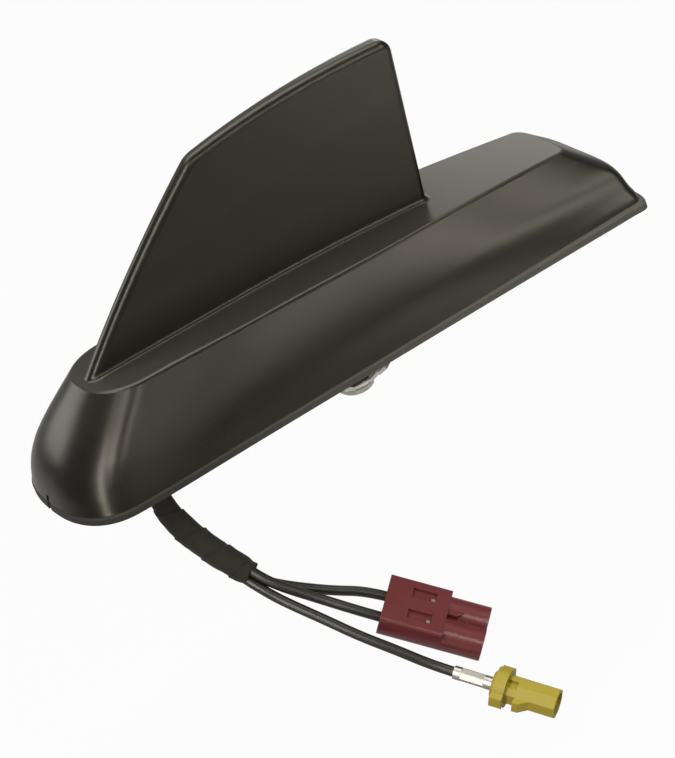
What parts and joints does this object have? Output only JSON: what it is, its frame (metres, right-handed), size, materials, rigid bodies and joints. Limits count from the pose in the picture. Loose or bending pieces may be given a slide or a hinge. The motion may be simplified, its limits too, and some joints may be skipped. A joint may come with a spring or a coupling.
{
  "type": "car roof antenna",
  "caption": "Low black roof antenna with a tapered fin on a long boat-shaped base, fixed by a bolt from below, with taped coaxial leads ending in moulded plugs.",
  "frame": {"origin": "on the fixing bolt's axis in the plane of the gasket's underside, where it lies on the roof", "axes": "+X towards the tail, +Z away from the roof"},
  "size_m": [0.1849, 0.1147, 0.1582],
  "materials": {
    "cover_plastic": "fine-grained satin black",
    "base_casting": "as cast",
    "gasket_rubber": "soft matt",
    "screw_steel": "zinc plated",
    "bolt_steel": "zinc plated, dulled",
    "spring_steel": "bright",
    "grommet_rubber": "matt",
    "board_green": "solder mask",
    "patch_ceramic": "fired",
    "tin_plate": "tinned",
    "holder_plastic": "moulded",
    "lead_jacket": "smooth",
    "cloth_tape": "woven tape",
    "bordeaux_plastic": "satin",
    "mustard_plastic": "satin",
    "contact_tin": "tinned",
    "contact_brass": "plain",
    "insulator_white": "smooth"
  },
  "bodies": {
    "root": {"fin_cover": "cover_plastic", "base_plate": "base_casting", "roof_gasket": "gasket_rubber", "cover_screws": "screw_steel", "mounting_bolt": "bolt_steel", "retaining_claw": "spring_steel", "cable_grommet": "grommet_rubber", "main_board": "board_green", "board_screws": "screw_steel", "satellite_patch": "patch_ceramic", "gnss_patch": "patch_ceramic", "patch_pins": "contact_brass", "amplifier_shield": "tin_plate", "blade_holder": "holder_plastic", "cellular_blade": "board_green", "second_cell_element": "tin_plate", "lead_tails": "lead_jacket", "harness_wrap": "cloth_tape", "cell_lead_far": "lead_jacket", "cell_lead_near": "lead_jacket", "satellite_lead": "lead_jacket", "twin_plug_housing": "bordeaux_plastic", "twin_plug_contacts": "contact_tin", "twin_plug_insulators": "insulator_white", "twin_plug_pins": "contact_brass", "lone_plug_housing": "mustard_plastic", "lone_plug_contact": "contact_tin", "lone_plug_insulator": "insulator_white", "lone_plug_pin": "contact_brass", "crimp_ferrule": "contact_tin"}
  },
  "joints": []
}
